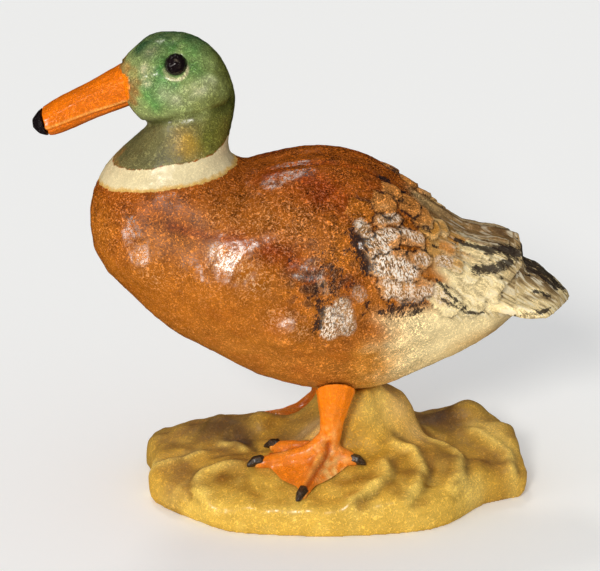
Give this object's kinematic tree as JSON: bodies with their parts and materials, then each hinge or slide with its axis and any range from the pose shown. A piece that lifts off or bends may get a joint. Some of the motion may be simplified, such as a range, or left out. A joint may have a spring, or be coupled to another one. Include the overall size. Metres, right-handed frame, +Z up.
{
  "type": "painted mallard drake figurine on sand base",
  "caption": "Small hand-painted cast figurine of a standing mallard drake on a modelled sand base, glossy varnish.",
  "frame": {"origin": "middle of the sand base, on its flat underside", "axes": "+Z up; X runs along the bird with the bill towards -X and the tail towards +X; the bird's left side faces -Y"},
  "size_m": [0.0592, 0.0267, 0.054],
  "materials": {
    "trunk_paint": "hand-painted cast composition, chestnut brown, crinkled clear varnish",
    "neck_paint": "hand-painted cast composition, grey-olive over a cream collar, clear varnish",
    "head_paint": "hand-painted cast composition, dabbed greens, clear varnish",
    "wing_paint": "hand-painted cast composition, tan feathers with black edges, clear varnish",
    "tail_paint": "hand-painted cast composition, cream and black stripes, clear varnish",
    "eye_paint": "black gloss paint",
    "bill_paint": "hand-painted cast composition, bright orange",
    "nail_paint": "black gloss paint",
    "leg_paint": "hand-painted cast composition, orange",
    "claw_paint": "black gloss paint",
    "sand_paint": "hand-painted cast composition, ochre with grey-brown washes, satin varnish"
  },
  "bodies": {
    "root": {"trunk": "trunk_paint", "neck": "neck_paint", "head": "head_paint", "left_eye": "eye_paint", "right_eye": "eye_paint", "upper_bill": "bill_paint", "lower_bill": "bill_paint", "bill_nail": "nail_paint", "left_wing": "wing_paint", "right_wing": "wing_paint", "tail": "tail_paint", "base": "sand_paint", "left_leg": "leg_paint", "left_foot": "leg_paint", "left_claw_inner": "claw_paint", "left_claw_middle": "claw_paint", "left_claw_outer": "claw_paint", "left_claw_hind": "claw_paint", "right_leg": "leg_paint", "right_foot": "leg_paint", "right_claw_inner": "claw_paint", "right_claw_middle": "claw_paint", "right_claw_outer": "claw_paint", "right_claw_hind": "claw_paint"}
  },
  "joints": []
}
